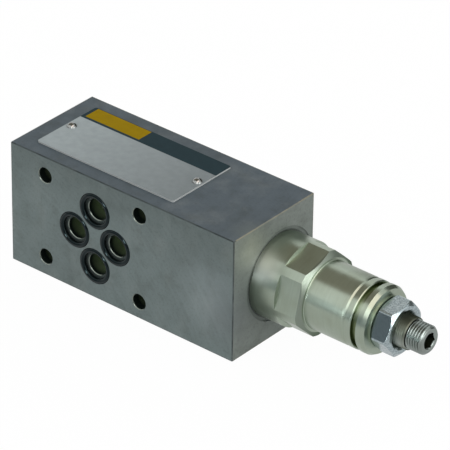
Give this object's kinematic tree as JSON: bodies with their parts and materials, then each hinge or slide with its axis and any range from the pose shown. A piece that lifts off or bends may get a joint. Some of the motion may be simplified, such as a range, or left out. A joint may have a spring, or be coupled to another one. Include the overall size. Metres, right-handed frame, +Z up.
{
  "type": "hydraulic sandwich valve",
  "caption": "Stacking relief valve: a steel block with sealed ports and bolt holes, and a screw-in cartridge with a hexagon cap, lock nut and adjusting screw.",
  "frame": {"origin": "middle of the bolt pattern on the seal face, which is the face with the port seals", "axes": "+X along the block towards the adjuster, +Y through the block away from the seal face, +Z up"},
  "size_m": [0.1554, 0.0404, 0.0468],
  "materials": {
    "machined_steel": "ground and milled, dull grey",
    "seal_rubber": "moulded, glossy",
    "plate_aluminium": "satin",
    "bright_steel": "bright turned",
    "yellow_zinc": "turned, yellow zinc plated",
    "blue_zinc": "blue zinc plated",
    "hardened_steel": "ground",
    "spring_steel": "drawn wire",
    "ring_plastic": "natural white"
  },
  "bodies": {
    "valve": {"valve_body": "machined_steel", "port_seal_p": "seal_rubber", "port_seal_t": "seal_rubber", "port_seal_a": "seal_rubber", "port_seal_b": "seal_rubber", "nameplate": "plate_aluminium", "nameplate_pin_left": "bright_steel", "nameplate_pin_right": "bright_steel", "adjuster_cap": "yellow_zinc", "cap_seal": "seal_rubber", "cartridge_sleeve": "hardened_steel", "sleeve_seal": "seal_rubber", "sleeve_backup_ring_inner": "ring_plastic", "sleeve_backup_ring_outer": "ring_plastic", "valve_seat": "hardened_steel", "pressure_spring": "spring_steel"},
    "poppet": {"poppet": "hardened_steel", "front_spring_guide": "hardened_steel"},
    "adjusting_piston": {"adjusting_piston": "hardened_steel", "piston_seal": "seal_rubber"},
    "adjusting_screw": {"adjusting_screw": "bright_steel"},
    "lock_nut": {"lock_nut": "blue_zinc"}
  },
  "joints": [
    {"name": "poppet_lift", "type": "slide", "parent": "valve", "child": "poppet", "axis": [1, 0, 0], "range_m": [0, 0.002], "stiffness_N_per_m": 2000, "springref_m": -0.01, "deforming": ["pressure_spring"]},
    {"name": "piston_travel", "type": "slide", "parent": "valve", "child": "adjusting_piston", "axis": [-1, 0, 0], "range_m": [0, 0.006], "deforming": ["pressure_spring"]},
    {"name": "screw_turn", "type": "hinge", "parent": "adjusting_piston", "child": "adjusting_screw", "pos_m": [0.1, 0.0232, 0], "axis": [-1, 0, 0], "range_deg": [0, 1800]},
    {"name": "nut_turn", "type": "hinge", "parent": "valve", "child": "lock_nut", "pos_m": [0.107, 0.0232, 0], "axis": [1, 0, 0], "range_deg": [0, 360]}
  ],
  "couplings": [
    {"joint": "piston_travel", "follows": "screw_turn", "m_per_rad": 0.00015915}
  ]
}
